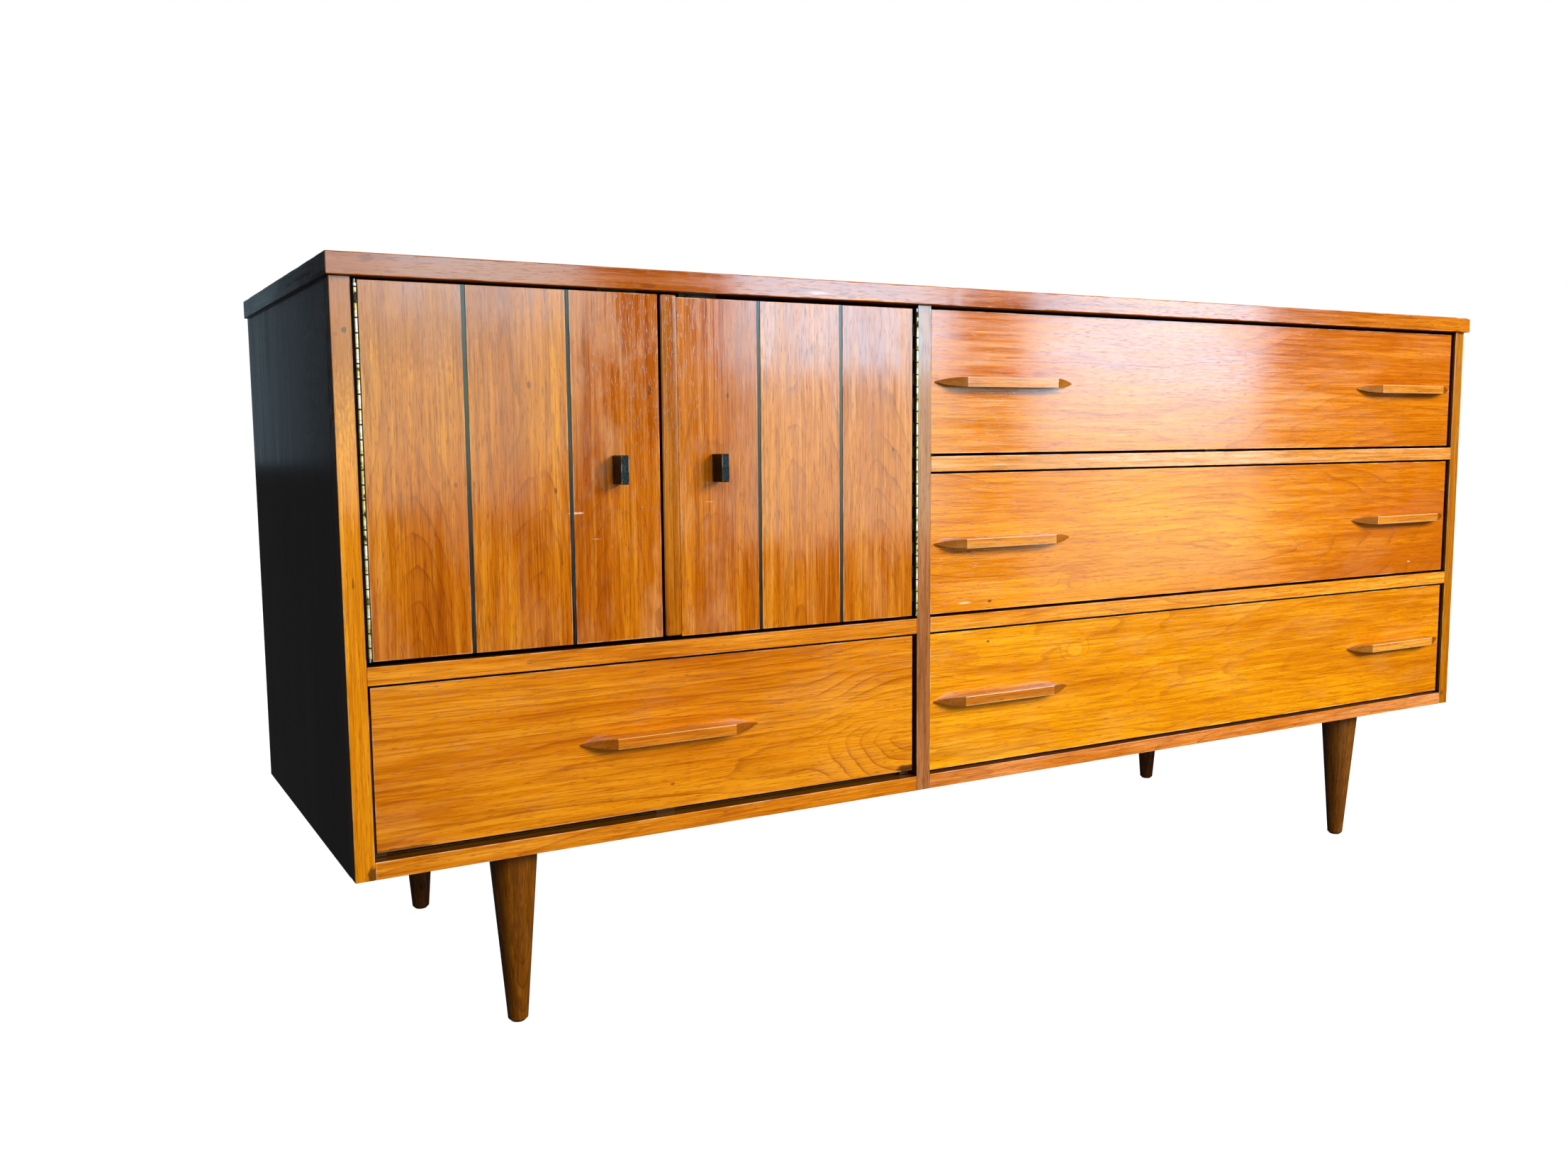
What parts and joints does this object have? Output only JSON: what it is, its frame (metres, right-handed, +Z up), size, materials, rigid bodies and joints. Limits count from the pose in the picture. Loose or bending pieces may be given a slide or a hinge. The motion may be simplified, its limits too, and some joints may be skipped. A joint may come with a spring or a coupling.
{
  "type": "dresser with drawers",
  "caption": "Long low wooden chest on tapered round legs, with a two-door cupboard over one drawer at the left and wide drawers at the right.",
  "frame": {"origin": "under the middle of the whole object's box, on the floor", "axes": "+X along the front to the right as seen from the front, +Y from the front to the back, +Z up"},
  "size_m": [1.524, 0.472, 0.715],
  "materials": {
    "face_wood": "orange-brown walnut veneer, satin lacquer",
    "side_wood": "dark walnut veneer, satin lacquer",
    "frame_wood": "solid wood stained to match, satin lacquer",
    "handle_wood": "solid wood, satin lacquer",
    "leg_wood": "turned solid wood, satin lacquer",
    "inner_wood": "plain pale wood, unfinished",
    "plywood": "thin plywood, unfinished",
    "black_lacquer": "black lacquer",
    "brass": "aged, satin",
    "steel": "plain zinc-plated"
  },
  "bodies": {
    "case": {"top_panel": "face_wood", "top_edging": "face_wood", "side_panel_left": "side_wood", "side_panel_right": "side_wood", "stile_left": "frame_wood", "stile_centre": "frame_wood", "stile_right": "frame_wood", "centre_partition": "inner_wood", "bottom_panel": "inner_wood", "rail_bottom_left": "frame_wood", "rail_bottom_right": "frame_wood", "rail_middle_left": "frame_wood", "rail_middle_right": "frame_wood", "rail_upper_right": "frame_wood", "cupboard_floor": "inner_wood", "dust_panels": "inner_wood", "back_panel": "plywood", "cupboard_shelf": "inner_wood", "shelf_pins": "brass", "drawer_guides": "inner_wood", "leg_front_left": "leg_wood", "leg_front_right": "leg_wood", "leg_back_left": "leg_wood", "leg_back_right": "leg_wood", "leg_plates": "steel", "leg_bolts": "steel", "hinge_leaves_case": "brass", "hinge_pins": "steel", "door_catches": "steel"},
    "left_door": {"door_left": "face_wood", "inlays_left": "black_lacquer", "knob_left": "black_lacquer", "hinge_leaf_left": "brass", "strike_left": "steel"},
    "right_door": {"door_right": "face_wood", "inlays_right": "black_lacquer", "meeting_strip": "frame_wood", "knob_right": "black_lacquer", "hinge_leaf_right": "brass", "strike_right": "steel"},
    "drawer_1": {"drawer_1_front": "face_wood", "drawer_1_sides": "inner_wood", "drawer_1_back": "inner_wood", "drawer_1_bottom": "plywood", "drawer_1_handles": "handle_wood"},
    "drawer_2": {"drawer_2_front": "face_wood", "drawer_2_sides": "inner_wood", "drawer_2_back": "inner_wood", "drawer_2_bottom": "plywood", "drawer_2_handles": "handle_wood"},
    "drawer_3": {"drawer_3_front": "face_wood", "drawer_3_sides": "inner_wood", "drawer_3_back": "inner_wood", "drawer_3_bottom": "plywood", "drawer_3_handles": "handle_wood"},
    "drawer_4": {"drawer_4_front": "face_wood", "drawer_4_sides": "inner_wood", "drawer_4_back": "inner_wood", "drawer_4_bottom": "plywood", "drawer_4_handle": "handle_wood"}
  },
  "joints": [
    {"name": "left_door_hinge", "type": "hinge", "parent": "case", "child": "left_door", "pos_m": [-0.738, -0.2162, 0.5314], "axis": [0, 0, -1], "range_deg": [0, 170]},
    {"name": "right_door_hinge", "type": "hinge", "parent": "case", "child": "right_door", "pos_m": [-0.1659, -0.2162, 0.53005], "axis": [0, 0, 1], "range_deg": [0, 90]},
    {"name": "drawer_1_slide", "type": "slide", "parent": "case", "child": "drawer_1", "axis": [0, -1, 0], "range_m": [0, 0.32]},
    {"name": "drawer_2_slide", "type": "slide", "parent": "case", "child": "drawer_2", "axis": [0, -1, 0], "range_m": [0, 0.32]},
    {"name": "drawer_3_slide", "type": "slide", "parent": "case", "child": "drawer_3", "axis": [0, -1, 0], "range_m": [0, 0.32]},
    {"name": "drawer_4_slide", "type": "slide", "parent": "case", "child": "drawer_4", "axis": [0, -1, 0], "range_m": [0, 0.32]}
  ]
}
